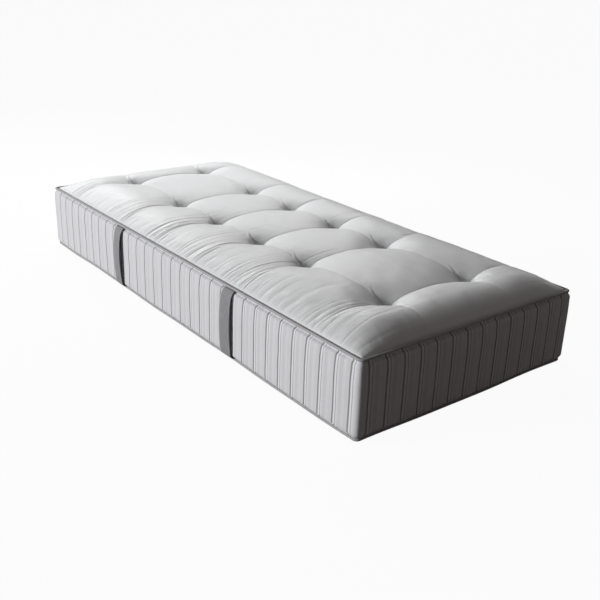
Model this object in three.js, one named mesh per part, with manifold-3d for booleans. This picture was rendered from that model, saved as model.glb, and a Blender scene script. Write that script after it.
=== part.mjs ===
// A single tufted mattress, 2000 x 900 mm, as it would come apart on a bench: a striped border
// between two pipings, a satin cover sheet above and below, and inside them wadding, foam and
// felt round a unit of pocketed springs that foam rails hold in. Tapes tie the two covers together.
// Millimetres: X along the mattress, Y across it, Z up, origin on the floor under its middle.
import * as THREE from "three";
import { mergeVertices } from "three/addons/utils/BufferGeometryUtils.js";
import Module from "manifold-3d";

const wasm = await Module();
wasm.setup();

// Driving dimensions of the outside
const length = 2000; // over the piping
const width = 900; // over the piping
const borderHeight = 244; // between the middles of the two pipings
const pipingLift = 8; // from the floor up to the lower piping
const pipingDiameter = 9;
const crownHeight = 54; // of the longest upper pillows above the piping
const sideRun = 200; // how far in from the long sides a pillow has its full height
const endRun = 140; // the same from the ends
const tuftPull = 42; // how far round a tuft the cover is drawn down
const saddleReach = 80; // how far from a tuft the saddle along the mattress stays deep
const clothThickness = 3; // satin quilted on thin fleece
const flatCut = 0.5; // taken off the lowest pillows, where they rest on the floor

// The border and its handles
const borderInset = 4; // from the outside of the piping in to the border at its seams
const borderWall = 8;
const borderBulge = 12; // at half height, outwards from the seams
const handleWidth = 55;
const handleThickness = 2.2;
const handleBow = 10; // the hand gap between strap and border at half height
const handleSpacing = 750; // between the middles of the two handles of one side

// The filling
const waddingThickness = 15; // where a tuft or the piping presses it thinnest
const foamThickness = 20;
const feltThickness = 5;
const railThickness = 56; // of the foam rails round the springs
const coreCorner = 5; // radius of the filling's upright corners
const pocketWeb = 5; // thickness of a string between two pockets
const tuftOpening = 8; // the hole that a tape goes through, square
const tapeThickness = 2.5;
const tapeEnd = 5; // height of the folded and sewn end of a tape

const clearance = 0.3; // between pieces that touch

// Counts, and shares of the sizes above
const stringCount = 11;
const pocketCount = 28;
const pipingSides = 8;
const cornerSteps = 4;
const tuftColumnShares = [2.03, 6.07, 11.9]; // in pocket pitches out from the middle
const tuftRowShares = [2.5]; // in string pitches out from the middle
const pocketFlatShare = 0.3; // half of a pocket's flat, as a share of its pitch
const borderHeightShares = [0, 0.05, 0.14, 0.27, 0.42, 0.58, 0.73, 0.86, 0.95, 1];
const upperBayShares = [0.2, 0.5, 0.8]; // grid lines across a bay between two tufts
const lowerBayShares = [0.333, 0.667];
const upperSideShares = [0.2, 0.5, 0.95]; // grid lines beside the long sides, in side runs
const upperEndShares = [0.25, 0.7]; // grid lines beside the ends, in end runs
const lowerSideShares = [0.35, 0.85];
const lowerEndShares = [0.55];
const tuftValleyShare = 0.5; // depth of the valleys across the mattress, at a tuft
const middleValleyShare = 0.26; // the same halfway between two tufts
const seamValleyShare = 0.08; // the same at the long sides
const tuftSaddleShare = 0.3; // depth of the saddles along the mattress, at a tuft
const middleSaddleShare = 0.06; // the same halfway between two tufts
const pressedShare = 0.72; // fullness at which the floor presses a lower pillow flat
const archExponent = 2.2;
const archRoot = 0.65;
const edgeExponent = 0.75;
const valleyExponent = 2.2;
const pullExponent = 1.2;
const bulgeExponent = 0.7;
const bayExponent = 0.35; // how much less a shorter pillow rises than the longest

// Heights worked out from the sizes above
const pipingRadius = pipingDiameter / 2;
const lowerSeam = pipingLift + pipingRadius;
const upperSeam = lowerSeam + borderHeight;
const borderBottom = lowerSeam + pipingRadius + clearance;
const borderTop = upperSeam - pipingRadius - clearance;
const upperCover = upperSeam + clothThickness / 2;
const lowerCover = lowerSeam - clothThickness / 2;
const upperWaddingBase = upperCover - clothThickness - clearance - waddingThickness;
const lowerWaddingBase = lowerCover + clothThickness + clearance + waddingThickness;
const upperFoamTop = upperWaddingBase - clearance;
const lowerFoamBottom = lowerWaddingBase + clearance;
const upperFeltTop = upperFoamTop - foamThickness - clearance;
const lowerFeltBottom = lowerFoamBottom + foamThickness + clearance;
const springTop = upperFeltTop - feltThickness - clearance;
const springBottom = lowerFeltBottom + feltThickness + clearance;

// Plan sizes worked out from the sizes above, as insets from the outside of the piping
const coverInset = pipingDiameter + clearance;
const coreInset = borderInset + borderWall + clearance;
const springInset = coreInset + railThickness + clearance;
const cornerRadius = coreCorner + coreInset; // at the outside of the piping
const halfLength = length / 2;
const halfWidth = width / 2;
const pocketPitch = (length - 2 * springInset) / pocketCount;
const stringPitch = (width - 2 * springInset) / stringCount;

// Where the tufts are: every column of them crosses every row
function bothSides(shares, pitch) {
  const places = shares.map((share) => share * pitch);
  return [...places.map((place) => -place), ...places].sort((a, b) => a - b);
}
const tuftColumns = bothSides(tuftColumnShares, pocketPitch);
const tuftRows = bothSides(tuftRowShares, stringPitch);
const tufts = tuftColumns.flatMap((x) => tuftRows.map((y) => ({ x, y })));

// Colours and finishes
const satin = { color: 0xd9dcdc, roughness: 0.5, metalness: 0 };
const ticking = { color: 0xc4c7ca, roughness: 0.85, metalness: 0 };
const cord = { color: 0xb9bbbc, roughness: 0.8, metalness: 0 };
const webbing = { color: 0x77787c, roughness: 0.9, metalness: 0 };
const fleece = { color: 0xf2f0ea, roughness: 1, metalness: 0 };
const foam = { color: 0xf0e6c8, roughness: 0.95, metalness: 0 };
const railFoam = { color: 0xc9dbe6, roughness: 0.95, metalness: 0 };
const felt = { color: 0x8d8f92, roughness: 1, metalness: 0 };
const pocketCloth = { color: 0xf7f7f5, roughness: 0.9, metalness: 0 };
const tapeCloth = { color: 0xe8e8e4, roughness: 0.9, metalness: 0 };

const mattress = new THREE.Group();

function addPiece(name, geometry, finish, parent = mattress) {
  const mesh = new THREE.Mesh(geometry, new THREE.MeshStandardMaterial(finish));
  mesh.name = name;
  parent.add(mesh);
  return mesh;
}

function closedGeometry(positions, index) {
  const geometry = new THREE.BufferGeometry();
  geometry.setAttribute("position", new THREE.Float32BufferAttribute(positions, 3));
  geometry.setIndex(index);
  geometry.computeVertexNormals();
  return geometry;
}

// A geometry as a solid that can be cut, and back again
function solidOf(geometry) {
  const bare = geometry.clone();
  bare.deleteAttribute("normal");
  bare.deleteAttribute("uv");
  const merged = mergeVertices(bare);
  const triVerts = new Uint32Array(merged.index.array);
  const vertProperties = merged.attributes.position.array;
  return new wasm.Manifold(new wasm.Mesh({ numProp: 3, vertProperties, triVerts }));
}

function geometryOf(solid) {
  const mesh = solid.getMesh();
  return closedGeometry(Array.from(mesh.vertProperties), Array.from(mesh.triVerts));
}

// The rounded rectangle that lies `inset` inside the piping, anticlockwise, with its normals
function outline(inset) {
  const radius = cornerRadius - inset;
  const points = [];
  for (let corner = 0; corner < 4; corner += 1) {
    const centreX = (corner === 0 || corner === 3 ? 1 : -1) * (halfLength - cornerRadius);
    const centreY = (corner < 2 ? 1 : -1) * (halfWidth - cornerRadius);
    for (let step = 0; step <= cornerSteps; step += 1) {
      const angle = ((corner + step / cornerSteps) * Math.PI) / 2;
      const outX = Math.cos(angle);
      const outY = Math.sin(angle);
      points.push({ x: centreX + radius * outX, y: centreY + radius * outY, outX, outY });
    }
  }
  return points;
}

// A ring: a profile of [outwards, up] points, anticlockwise, carried round an outline
function ringGeometry(sections, profile) {
  const positions = [];
  const index = [];
  for (const section of sections) {
    for (const [out, up] of profile) {
      positions.push(section.x + section.outX * out, section.y + section.outY * out, up);
    }
  }
  const corner = (section, point) =>
    (section % sections.length) * profile.length + (point % profile.length);
  for (let section = 0; section < sections.length; section += 1) {
    for (let point = 0; point < profile.length; point += 1) {
      const here = corner(section, point);
      const next = corner(section + 1, point);
      const nextUp = corner(section + 1, point + 1);
      const hereUp = corner(section, point + 1);
      index.push(here, next, nextUp, here, nextUp, hereUp);
    }
  }
  return closedGeometry(positions, index);
}

// The border's outside at a share of its height, outwards from its seams
function bulgeAt(share) {
  return borderBulge * (4 * share * (1 - share)) ** bulgeExponent;
}

function borderLevel(share) {
  return borderBottom + (borderTop - borderBottom) * share;
}

function addBorder() {
  const profile = borderHeightShares.map((share) => [bulgeAt(share), borderLevel(share)]);
  profile.push([-borderWall, borderTop]);
  profile.push([-borderWall, borderBottom]);
  addPiece("border_band", ringGeometry(outline(borderInset), profile), ticking);
}

// A cord between border and cover, with flats at its true radius
function addPiping(name, level) {
  const corner = pipingRadius / Math.cos(Math.PI / pipingSides);
  const profile = [];
  for (let side = 0; side < pipingSides; side += 1) {
    const angle = ((side + 0.5) * 2 * Math.PI) / pipingSides;
    profile.push([corner * Math.cos(angle), level + corner * Math.sin(angle)]);
  }
  addPiece(name, ringGeometry(outline(pipingRadius), profile), cord);
}

// A strap of webbing that stands off the border and is sewn in under both pipings
function handleGeometry() {
  const shape = new THREE.Shape();
  const inner = borderHeightShares.map((share) => {
    const stand = bulgeAt(share) + clearance + handleBow * Math.sin(Math.PI * share);
    return [stand, borderLevel(share)];
  });
  const outer = inner.map(([out, up]) => [out + handleThickness, up]).reverse();
  [...inner, ...outer].forEach(([out, up], number) => {
    if (number === 0) shape.moveTo(out, up);
    else shape.lineTo(out, up);
  });
  const strap = new THREE.ExtrudeGeometry(shape, { depth: handleWidth, bevelEnabled: false });
  strap.translate(0, 0, -handleWidth / 2);
  strap.rotateX(Math.PI / 2);
  strap.rotateZ(-Math.PI / 2);
  return strap;
}

function addHandles() {
  for (const [side, turn] of [["front", 0], ["back", Math.PI]]) {
    const face = new THREE.Group();
    face.rotation.z = turn;
    mattress.add(face);
    for (const [end, sign] of [["left", -1], ["right", 1]]) {
      const place = side === "front" ? sign : -sign;
      const strap = addPiece("handle_" + side + "_" + end, handleGeometry(), webbing, face);
      strap.position.set((place * handleSpacing) / 2, -(halfWidth - borderInset), 0);
    }
  }
}

// The arch of a pillow across one bay, from 0 at either side of it to 1 in its middle
function arch(share) {
  return (1 - Math.abs(2 * share - 1) ** archExponent) ** archRoot;
}

// The bay that a place lies in, between two lines of tufts or from the last of them to the edge,
// where the firm border holds it up like half of a longer pillow
function bayAt(place, lines, half) {
  const last = lines[lines.length - 1];
  const distance = Math.abs(place) - last;
  if (distance > 0) {
    return { span: 2 * (half - last), share: Math.min(distance / (half - last), 0.5) };
  }
  const next = Math.max(lines.findIndex((line) => line >= place), 1);
  const span = lines[next] - lines[next - 1];
  return { span, share: (place - lines[next - 1]) / span };
}
const longestBay = tuftColumns[1] - tuftColumns[0];

// How a pillow rises from the piping, from 0 there to 1 where it has its full height
function edgeRise(distanceIn, run) {
  const share = Math.min(distanceIn / run, 1);
  return (1 - (1 - share) ** 2) ** edgeExponent;
}

// Depth of the valley that runs across the mattress through a column of tufts
function valleyAt(y) {
  const lastRow = tuftRows[tuftRows.length - 1];
  const outward = (Math.abs(y) - lastRow) / (halfWidth - lastRow);
  if (outward > 0) {
    return seamValleyShare + (tuftValleyShare - seamValleyShare) * (1 - outward) ** valleyExponent;
  }
  return middleValleyShare + (tuftValleyShare - middleValleyShare) * (y / lastRow) ** 2;
}

// Depth of the saddle that runs along the mattress through a row of tufts
function saddleAt(x) {
  const beside = Math.min(...tuftColumns.map((column) => Math.abs(x - column)));
  const near = Math.exp(-((beside / saddleReach) ** 2));
  return middleSaddleShare + (tuftSaddleShare - middleSaddleShare) * near;
}

// How full the cover is at a place: 0 at a tuft and at the piping, 1 on a crown
function fullness(x, y) {
  const inX = halfLength - coverInset - Math.abs(x);
  const inY = halfWidth - coverInset - Math.abs(y);
  const rise = edgeRise(inX, endRun) * edgeRise(inY, sideRun);
  const valley = valleyAt(y);
  const bay = bayAt(x, tuftColumns, halfLength);
  const crest = Math.min(bay.span / longestBay, 1) ** bayExponent;
  const columns = 1 - valley + (crest - 1 + valley) * arch(bay.share);
  const rows = 1 - saddleAt(x) * (1 - arch(bayAt(y, tuftRows, halfWidth).share));
  const nearest = Math.min(...tufts.map((tuft) => Math.hypot(x - tuft.x, y - tuft.y)));
  const away = Math.max(nearest - tuftOpening / Math.SQRT2, 0);
  const pull = 1 - Math.exp(-((away / tuftPull) ** pullExponent));
  return rise * columns * rows * pull;
}

// Grid lines along one axis: the edge, the corner's start, and lines about every tuft
function gridLines(half, inset, tuftLines, bayShares, run, edgeShares) {
  const last = tuftLines[tuftLines.length - 1];
  const lines = [half - inset, half - cornerRadius];
  for (const share of edgeShares) {
    const line = half - coverInset - share * run;
    if (line > last + tuftOpening) lines.push(line);
  }
  lines.push(...lines.map((line) => -line));
  tuftLines.forEach((line, number) => {
    lines.push(line - tuftOpening / 2, line + tuftOpening / 2);
    if (number === 0) return;
    const before = tuftLines[number - 1];
    bayShares.forEach((share) => lines.push(before + (line - before) * share));
  });
  return lines.sort((a, b) => a - b);
}

// A sheet or block over a grid, with a hole at each tuft. Its edges follow the outline.
function paddedGeometry(inset, bayShares, endShares, sideShares, highAt, lowAt) {
  const xs = gridLines(halfLength, inset, tuftColumns, bayShares, endRun, endShares);
  const ys = gridLines(halfWidth, inset, tuftRows, bayShares, sideRun, sideShares);
  const drawIn = (cornerRadius - inset) * (1 - Math.SQRT1_2);
  const positions = [];
  const index = [];
  xs.forEach((x, i) => {
    ys.forEach((y, j) => {
      const atEndX = i === 0 || i === xs.length - 1;
      const atEndY = j === 0 || j === ys.length - 1;
      const isCorner = atEndX && atEndY;
      const placeX = isCorner ? x - Math.sign(x) * drawIn : x;
      const placeY = isCorner ? y - Math.sign(y) * drawIn : y;
      const full = atEndX || atEndY ? 0 : fullness(x, y);
      positions.push(placeX, placeY, highAt(full));
      positions.push(placeX, placeY, lowAt(full));
    });
  });
  const isOpening = (i, j) => {
    if (i < 0 || j < 0 || i >= xs.length - 1 || j >= ys.length - 1) return true;
    const middleX = (xs[i] + xs[i + 1]) / 2;
    const middleY = (ys[j] + ys[j + 1]) / 2;
    const reach = tuftOpening / 2;
    return tufts.some(
      (tuft) => Math.abs(tuft.x - middleX) < reach && Math.abs(tuft.y - middleY) < reach,
    );
  };
  const vertex = (i, j, isLow) => 2 * (i * ys.length + j) + isLow;
  const addWall = (fromI, fromJ, toI, toJ) => {
    const lowFrom = vertex(fromI, fromJ, 1);
    const lowTo = vertex(toI, toJ, 1);
    const highTo = vertex(toI, toJ, 0);
    const highFrom = vertex(fromI, fromJ, 0);
    index.push(lowFrom, lowTo, highTo, lowFrom, highTo, highFrom);
  };
  for (let i = 0; i < xs.length - 1; i += 1) {
    for (let j = 0; j < ys.length - 1; j += 1) {
      if (isOpening(i, j)) continue;
      const highs = [vertex(i, j, 0), vertex(i + 1, j, 0), vertex(i + 1, j + 1, 0), vertex(i, j + 1, 0)];
      const lows = highs.map((high) => high + 1);
      index.push(highs[0], highs[1], highs[2], highs[0], highs[2], highs[3]);
      index.push(lows[0], lows[2], lows[1], lows[0], lows[3], lows[2]);
      if (isOpening(i, j - 1)) addWall(i, j, i + 1, j);
      if (isOpening(i + 1, j)) addWall(i + 1, j, i + 1, j + 1);
      if (isOpening(i, j + 1)) addWall(i + 1, j + 1, i, j + 1);
      if (isOpening(i - 1, j)) addWall(i, j + 1, i, j);
    }
  }
  return closedGeometry(positions, index);
}

// Height of the upper cover's outside above a full or drawn-down place
function upperHeight(full) {
  return upperCover + crownHeight * full;
}

// Height of the lower cover's outside: its crowns are pressed flat by the floor
function lowerHeight(full) {
  const pressed = Math.min(full / pressedShare, 1);
  return Math.max(lowerCover - (lowerCover + flatCut) * pressed, 0);
}

// A block of wadding: full to the cover on one side, cut off flat on the side of the foam
function waddingGeometry(lines, highAt, lowAt, cutFrom, cutTo) {
  const block = paddedGeometry(coreInset, ...lines, highAt, lowAt);
  const slab = new THREE.BoxGeometry(length, width, cutTo - cutFrom);
  slab.translate(0, 0, (cutFrom + cutTo) / 2);
  return geometryOf(solidOf(block).subtract(solidOf(slab)));
}

function addCoversAndWadding() {
  const inner = clothThickness;
  const under = clothThickness + clearance;
  const waste = waddingThickness;
  const upper = [upperBayShares, upperEndShares, upperSideShares];
  const lower = [lowerBayShares, lowerEndShares, lowerSideShares];
  const topCover = paddedGeometry(coverInset, ...upper, upperHeight, (full) => upperHeight(full) - inner);
  addPiece("top_cover", topCover, satin);
  const topWadding = waddingGeometry(
    upper,
    (full) => upperHeight(full) - under,
    () => upperWaddingBase - waste,
    upperWaddingBase - 2 * waste,
    upperWaddingBase,
  );
  addPiece("top_wadding", topWadding, fleece);
  const bottomCover = paddedGeometry(coverInset, ...lower, (full) => lowerHeight(full) + inner, lowerHeight);
  addPiece("bottom_cover", bottomCover, satin);
  const bottomWadding = waddingGeometry(
    lower,
    () => lowerWaddingBase + waste,
    (full) => lowerHeight(full) + under,
    lowerWaddingBase,
    lowerWaddingBase + 2 * waste,
  );
  addPiece("bottom_wadding", bottomWadding, fleece);
}

// A flat layer that fills the border, with a hole at each tuft
function addLayer(name, bottom, thickness, finish) {
  const shape = new THREE.Shape(outline(coreInset).map(({ x, y }) => new THREE.Vector2(x, y)));
  const sheet = new THREE.ExtrudeGeometry(shape, { depth: thickness, bevelEnabled: false });
  sheet.translate(0, 0, bottom);
  let layer = solidOf(sheet);
  for (const { x, y } of tufts) {
    const hole = new THREE.BoxGeometry(tuftOpening, tuftOpening, 2 * thickness);
    hole.translate(x, y, bottom + thickness / 2);
    layer = layer.subtract(solidOf(hole));
  }
  addPiece(name, geometryOf(layer), finish);
}

// One string of pockets: seen from above, a row of six-sided pockets joined by a narrow web
function addSpringStrings() {
  const reach = (stringPitch - clearance) / 2;
  const edge = [];
  for (let pocket = 0; pocket < pocketCount; pocket += 1) {
    const middle = (pocket + 0.5 - pocketCount / 2) * pocketPitch;
    edge.push([middle - pocketPitch / 2, pocketWeb / 2]);
    edge.push([middle - pocketPitch * pocketFlatShare, reach]);
    edge.push([middle + pocketPitch * pocketFlatShare, reach]);
  }
  edge.push([(pocketCount * pocketPitch) / 2, pocketWeb / 2]);
  const lower = edge.map(([x, y]) => new THREE.Vector2(x, -y));
  const upper = edge.map(([x, y]) => new THREE.Vector2(x, y)).reverse();
  const shape = new THREE.Shape([...lower, ...upper]);
  for (let number = 0; number < stringCount; number += 1) {
    const depth = springTop - springBottom;
    const string = new THREE.ExtrudeGeometry(shape, { depth, bevelEnabled: false });
    const place = (number + 0.5 - stringCount / 2) * stringPitch;
    const mesh = addPiece("spring_string_" + String(number + 1).padStart(2, "0"), string, pocketCloth);
    mesh.position.set(0, place, springBottom);
  }
}

// Foam rails between the springs and the border. The long ones have the border's round corners.
function addRails() {
  const points = outline(coreInset);
  const inner = halfWidth - springInset + clearance;
  const depth = springTop - springBottom;
  for (const [name, side] of [["rail_front", -1], ["rail_back", 1]]) {
    const outside = points.filter((point) => Math.sign(point.y) === side);
    const end = outside.map(({ x, y }) => new THREE.Vector2(x, y));
    const halfEnd = halfLength - coreInset;
    end.push(new THREE.Vector2(-side * halfEnd, side * inner));
    end.push(new THREE.Vector2(side * halfEnd, side * inner));
    const rail = new THREE.ExtrudeGeometry(new THREE.Shape(end), { depth, bevelEnabled: false });
    addPiece(name, rail, railFoam).position.z = springBottom;
  }
  const across = 2 * (inner - clearance);
  for (const [name, side] of [["rail_left", -1], ["rail_right", 1]]) {
    const rail = new THREE.BoxGeometry(railThickness, across, depth);
    const place = side * (halfLength - coreInset - railThickness / 2);
    addPiece(name, rail, railFoam).position.set(place, 0, springBottom + depth / 2);
  }
}

// A tape that ties the covers together, with a folded, sewn end in the hole of each cover
function addTuftTies() {
  const halfEnd = tuftOpening / 2 - clearance;
  const halfTape = tapeThickness / 2;
  const levels = [lowerCover, lowerCover + tapeEnd, upperCover - tapeEnd, upperCover];
  const shape = new THREE.Shape();
  shape.moveTo(-halfEnd, levels[0]);
  shape.lineTo(halfEnd, levels[0]);
  shape.lineTo(halfEnd, levels[1]);
  shape.lineTo(halfTape, levels[1]);
  shape.lineTo(halfTape, levels[2]);
  shape.lineTo(halfEnd, levels[2]);
  shape.lineTo(halfEnd, levels[3]);
  shape.lineTo(-halfEnd, levels[3]);
  shape.lineTo(-halfEnd, levels[2]);
  shape.lineTo(-halfTape, levels[2]);
  shape.lineTo(-halfTape, levels[1]);
  shape.lineTo(-halfEnd, levels[1]);
  tufts.forEach(({ x, y }, number) => {
    const tie = new THREE.ExtrudeGeometry(shape, { depth: 2 * halfEnd, bevelEnabled: false });
    tie.rotateX(Math.PI / 2);
    const mesh = addPiece("tuft_tie_" + String(number + 1).padStart(2, "0"), tie, tapeCloth);
    mesh.position.set(x, y + halfEnd, 0);
  });
}

addBorder();
addPiping("top_piping", upperSeam);
addPiping("bottom_piping", lowerSeam);
addHandles();
addCoversAndWadding();
addLayer("top_foam", upperFoamTop - foamThickness, foamThickness, foam);
addLayer("bottom_foam", lowerFoamBottom, foamThickness, foam);
addLayer("top_felt", upperFeltTop - feltThickness, feltThickness, felt);
addLayer("bottom_felt", lowerFeltBottom, feltThickness, felt);
addSpringStrings();
addRails();
addTuftTies();

export default mattress;
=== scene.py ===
# %% [markdown]
# # A tufted single mattress
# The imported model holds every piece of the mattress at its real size: two satin covers, a striped
# border between two pipings, four webbing handles, and inside them wadding, foam, felt, springs,
# rails and tapes. This script leaves all of that where it is and gives the pieces their cloth. It
# reads its sizes from the frame wherever it can, so each new piece lies where its solid lies.

# %% Load the frame
import math

import bpy
import numpy as np
from mathutils import Matrix, Vector


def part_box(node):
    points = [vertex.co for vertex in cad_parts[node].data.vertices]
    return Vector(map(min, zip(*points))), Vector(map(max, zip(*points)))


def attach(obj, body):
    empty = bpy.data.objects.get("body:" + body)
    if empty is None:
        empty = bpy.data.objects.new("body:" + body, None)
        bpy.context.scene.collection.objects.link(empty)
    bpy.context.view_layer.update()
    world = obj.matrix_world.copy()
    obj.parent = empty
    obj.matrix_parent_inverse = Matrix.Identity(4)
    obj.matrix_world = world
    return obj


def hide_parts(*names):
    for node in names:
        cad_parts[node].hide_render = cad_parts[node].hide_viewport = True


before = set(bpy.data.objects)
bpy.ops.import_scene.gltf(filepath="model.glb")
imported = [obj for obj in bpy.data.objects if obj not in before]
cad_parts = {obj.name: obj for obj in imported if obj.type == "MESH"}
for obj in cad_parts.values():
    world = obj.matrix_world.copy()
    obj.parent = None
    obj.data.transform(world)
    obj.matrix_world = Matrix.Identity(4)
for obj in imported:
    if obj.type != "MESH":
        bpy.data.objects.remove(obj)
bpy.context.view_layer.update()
scene = bpy.context.scene
print("Nodes in the frame:", len(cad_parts))

# %% [markdown]
# ## Sizes
# Blender works in metres, and a maker of mattresses thinks in millimetres, so one constant turns the
# one into the other. The piping gives the outline and the two seams, and the ties give the tufts.

# %% Sizes read from the frame
MM = 0.001
cord_low, cord_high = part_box("top_piping")
half_length = cord_high.x
half_width = cord_high.y
cord_radius = (cord_high.z - cord_low.z) / 2
upper_seam = (cord_high.z + cord_low.z) / 2
lower_seam = sum(corner.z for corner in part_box("bottom_piping")) / 2
border_low, border_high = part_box("border_band")
cover_inset = half_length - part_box("top_cover")[1].x
tie_boxes = [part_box(f"tuft_tie_{number:02d}") for number in range(1, 13)]
tufts = [(low + high) / 2 for low, high in tie_boxes]
tuft_columns = np.array(sorted({round(tuft.x, 5) for tuft in tufts}))
tuft_rows = np.array(sorted({round(tuft.y, 5) for tuft in tufts}))
print(f"Outline {2 * half_length:.3f} x {2 * half_width:.3f} m")
print(f"Seams at {lower_seam:.4f} and {upper_seam:.4f} m")

# %% Sizes of the cloth that the frame doesn't state
corner_radius = 17.3 * MM  # of the outline's upright corners, on the outside of the piping
cloth = 3 * MM  # satin quilted on thin fleece
tuft_opening = 8 * MM
clearance = 0.3 * MM  # between pieces that touch

# %% [markdown]
# ## Camera
# The camera stands where the photograph was taken from: over one corner, a little above the height
# of a table, with a longish lens. It is turned by its own axes, because it was also tilted a little.

# %% Camera at the photograph's viewpoint
azimuth = math.radians(51.63)
elevation = math.radians(22.67)
tilt = math.radians(1.92)
target = Vector((319.1, -121, 118)) * MM
distance = 2928 * MM
back = Vector((
    math.sin(azimuth) * math.cos(elevation),
    -math.cos(azimuth) * math.cos(elevation),
    math.sin(elevation),
))
right = (-back).cross(Vector((0, 0, 1))).normalized()
up = right.cross(-back)
camera_x = right * math.cos(tilt) + up * math.sin(tilt)
camera_y = up * math.cos(tilt) - right * math.sin(tilt)
camera_data = bpy.data.cameras.new("camera")
camera_data.sensor_width = 36  # mm, the width of small-format film
camera_data.lens = 50.65  # mm
camera = bpy.data.objects.new("camera", camera_data)
scene.collection.objects.link(camera)
turn = Matrix((camera_x, camera_y, back)).transposed().to_4x4()
camera.matrix_world = Matrix.Translation(target + back * distance) @ turn
scene.camera = camera
print("Camera at", [round(value, 3) for value in camera.location])

# %% [markdown]
# ## Colours and nodes
# A colour is written as a maker would pick it, as an sRGB hex value, and one function turns it into
# the linear values that shaders use. One more function adds a node with its settings and its links,
# and a third starts a material from the Principled shader.

# %% Helpers for materials
def linear(hex_colour):
    channels = [int(hex_colour[place:place + 2], 16) / 255 for place in (1, 3, 5)]
    return (*(c / 12.92 if c <= 0.04045 else ((c + 0.055) / 1.055) ** 2.4 for c in channels), 1)


def add_node(tree, kind, inputs=None, **settings):
    node = tree.nodes.new(kind)
    for name, value in settings.items():
        setattr(node, name, value)
    for name, value in (inputs or {}).items():
        if isinstance(value, bpy.types.NodeSocket):
            tree.links.new(value, node.inputs[name])
        else:
            node.inputs[name].default_value = value
    return node


def new_material(name, **shader_values):
    material = bpy.data.materials.new(name)
    material.use_nodes = True
    tree = material.node_tree
    tree.nodes.clear()
    shader = add_node(tree, "ShaderNodeBsdfPrincipled", shader_values)
    add_node(tree, "ShaderNodeOutputMaterial", {"Surface": shader.outputs["BSDF"]})
    return material, tree, shader


# %% [markdown]
# ## Light and floor
# A large softbox stands well off in front of the long side, so it lights that side evenly. Two weak
# ones stand beyond the far end and over the far half, so that the pillows pass into shade towards
# the end that faces the camera. The world is white where the camera or a gloss sees it, and dim and
# a little warm as a lamp. The floor is white to the camera and a warm grey to the light, or it would
# throw too much light on the shaded end. Most of its white is a glow for the camera, and the rest
# takes the object's shadow.

# %% World and lamps
scene.view_settings.view_transform = "Standard"
world = bpy.data.worlds.new("studio")
scene.world = world
world.use_nodes = True
sky = world.node_tree
sky.nodes.clear()
rays = add_node(sky, "ShaderNodeLightPath").outputs
seen = add_node(sky, "ShaderNodeMath", {
    0: rays["Is Camera Ray"], 1: rays["Is Glossy Ray"],
}, operation="MAXIMUM").outputs[0]
seen = add_node(sky, "ShaderNodeMath", {
    0: seen, 1: rays["Is Transmission Ray"],
}, operation="MAXIMUM").outputs[0]
world_light = 0.068  # the world's strength as a lamp, enough for the shaded end
dim = add_node(sky, "ShaderNodeBackground", {"Color": linear("#FFF0E8"), "Strength": world_light})
white = add_node(sky, "ShaderNodeBackground", {"Color": linear("#FFFFFF"), "Strength": 1.0})
mix = add_node(sky, "ShaderNodeMixShader", {0: seen, 1: dim.outputs[0], 2: white.outputs[0]})
add_node(sky, "ShaderNodeOutputWorld", {"Surface": mix.outputs[0]})


def add_softbox(name, place, width, height, watts):
    """A soft lamp at a place in metres, turned towards the middle of the mattress."""
    aim = (0, 0, 0.2)
    data = bpy.data.lights.new(name, "AREA")
    data.shape = "RECTANGLE"
    data.size = width
    data.size_y = height
    data.energy = watts
    lamp = bpy.data.objects.new(name, data)
    scene.collection.objects.link(lamp)
    lamp.location = place
    lamp.visible_camera = False
    lamp.rotation_euler = (Vector(aim) - Vector(place)).to_track_quat("-Z", "Y").to_euler()
    print(f"{name}: {watts} W at {place}")


add_softbox("side_softbox", (-2.6, -8.4, 2.2), 2.4, 2.0, 690)
add_softbox("end_softbox", (-3.4, -0.2, 1.8), 2.0, 1.5, 28)
add_softbox("overhead_softbox", (-1.5, 0.8, 1.5), 2.0, 1.5, 24)

# %% Floor
floor_reach = 60  # metres: far enough that its edge lies behind the white of the world
floor_mesh = bpy.data.meshes.new("floor")
corner_signs = ((-1, -1), (1, -1), (1, 1), (-1, 1))
floor_corners = [(x * floor_reach, y * floor_reach, 0) for x, y in corner_signs]
floor_mesh.from_pydata(floor_corners, [], [(0, 1, 2, 3)])
floor = bpy.data.objects.new("floor", floor_mesh)
scene.collection.objects.link(floor)
floor_paint, tree, shader = new_material("pale_studio_floor", Roughness=0.9)
floor_mesh.materials.append(floor_paint)
rays = add_node(tree, "ShaderNodeLightPath").outputs
paint = add_node(tree, "ShaderNodeMix", {
    0: rays["Is Camera Ray"], "A": linear("#605858"), "B": linear("#FAFAFA"),
}, data_type="RGBA")
tree.links.new(paint.outputs["Result"], shader.inputs["Base Color"])
glow_share = 0.95  # of the floor's white that is a glow
share = add_node(tree, "ShaderNodeMath", {
    0: rays["Is Camera Ray"], 1: glow_share,
}, operation="MULTIPLY").outputs[0]
glow = add_node(tree, "ShaderNodeEmission", {"Color": linear("#FFFFFF"), "Strength": 1.0})
mix = add_node(tree, "ShaderNodeMixShader", {0: share, 1: shader.outputs[0], 2: glow.outputs[0]})
tree.links.new(mix.outputs[0], tree.nodes["Material Output"].inputs["Surface"])
print("Floor:", 2 * floor_reach, "m wide")

# %% [markdown]
# ## The pillows
# Twelve tapes tie the upper cover to the lower one, and between them the wadding pushes the satin up
# into 21 pillows. The shape follows a rule, so it is written as one: how full the cover is at a
# place, from 0 at a tuft and at the piping to 1 on a crown. The solids follow nearly the same rule,
# and here the cover rises a little faster from its seams, but more slowly from the far end's.

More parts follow.
